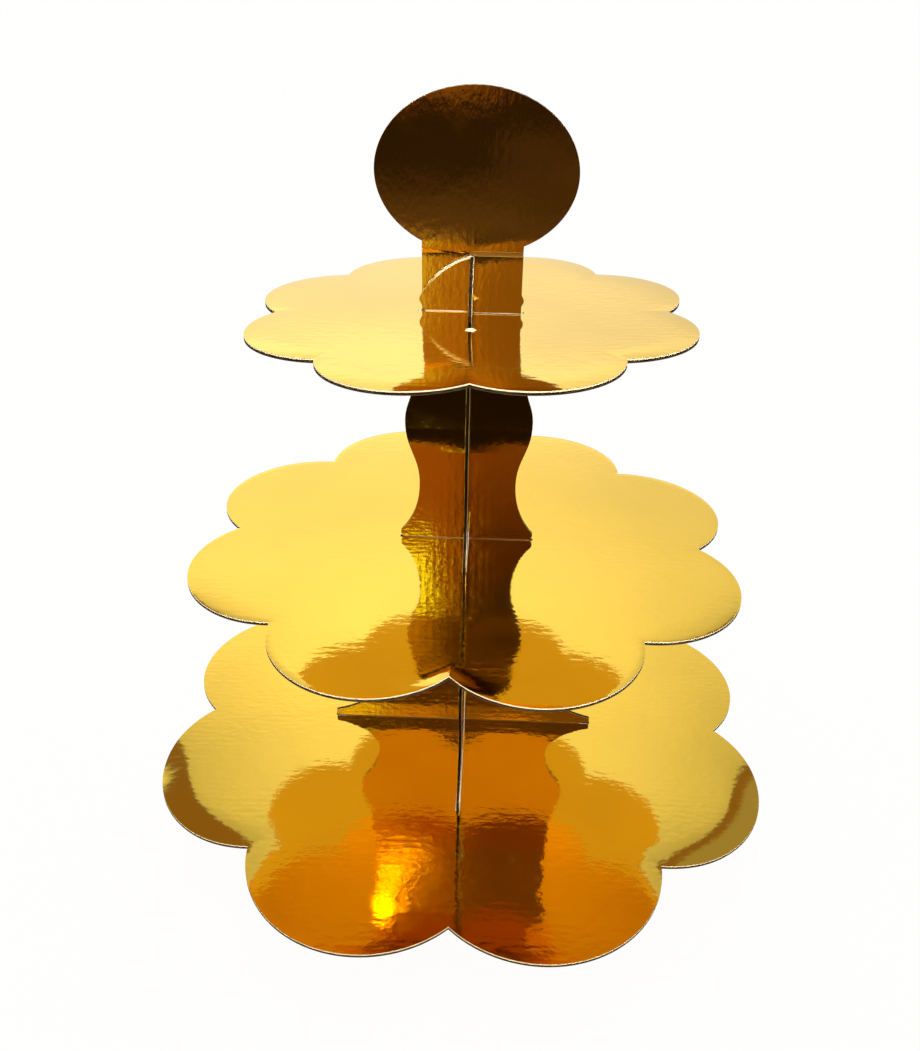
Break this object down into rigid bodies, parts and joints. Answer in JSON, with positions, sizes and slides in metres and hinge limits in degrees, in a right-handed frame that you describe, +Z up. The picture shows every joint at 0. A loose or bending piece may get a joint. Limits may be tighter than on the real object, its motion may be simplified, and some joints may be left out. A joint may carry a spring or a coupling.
{
  "type": "tiered cake stand",
  "caption": "Free-standing cupcake stand that packs flat: scalloped foil-faced card plates in tiers on a cross-lapped vase-shaped column, with an oval topper on the dome.",
  "frame": {"origin": "on the floor, under the axis of the column", "axes": "+Z up along the column, -Y towards the viewer of the topper's face, +X to that viewer's right"},
  "size_m": [0.2854, 0.2854, 0.3418],
  "materials": {
    "foil_card_plate": "mirror gold foil on both faces, bare cut edges",
    "foil_card_column": "mirror gold foil on both faces, bare cut edges",
    "foil_card_topper": "mirror gold foil on both faces, bare cut edges"
  },
  "bodies": {
    "side_panel": {"side_panel": "foil_card_column"},
    "front_panel": {"front_panel": "foil_card_column"},
    "bottom_plate": {"bottom_plate": "foil_card_plate"},
    "middle_plate": {"middle_plate": "foil_card_plate"},
    "top_plate": {"top_plate": "foil_card_plate"},
    "topper": {"topper": "foil_card_topper"}
  },
  "joints": [
    {"name": "front_panel_lift", "type": "slide", "parent": "side_panel", "child": "front_panel", "axis": [0, 0, 1], "range_m": [0, 0.265]},
    {"name": "bottom_plate_lift", "type": "slide", "parent": "front_panel", "child": "bottom_plate", "axis": [0, 0, 1], "range_m": [0, 0.245]},
    {"name": "middle_plate_lift", "type": "slide", "parent": "bottom_plate", "child": "middle_plate", "axis": [0, 0, 1], "range_m": [0, 0.138]},
    {"name": "top_plate_lift", "type": "slide", "parent": "middle_plate", "child": "top_plate", "axis": [0, 0, 1], "range_m": [0, 0.032]},
    {"name": "topper_lift", "type": "slide", "parent": "top_plate", "child": "topper", "axis": [0, 0, 1], "range_m": [0, 0.032]}
  ]
}
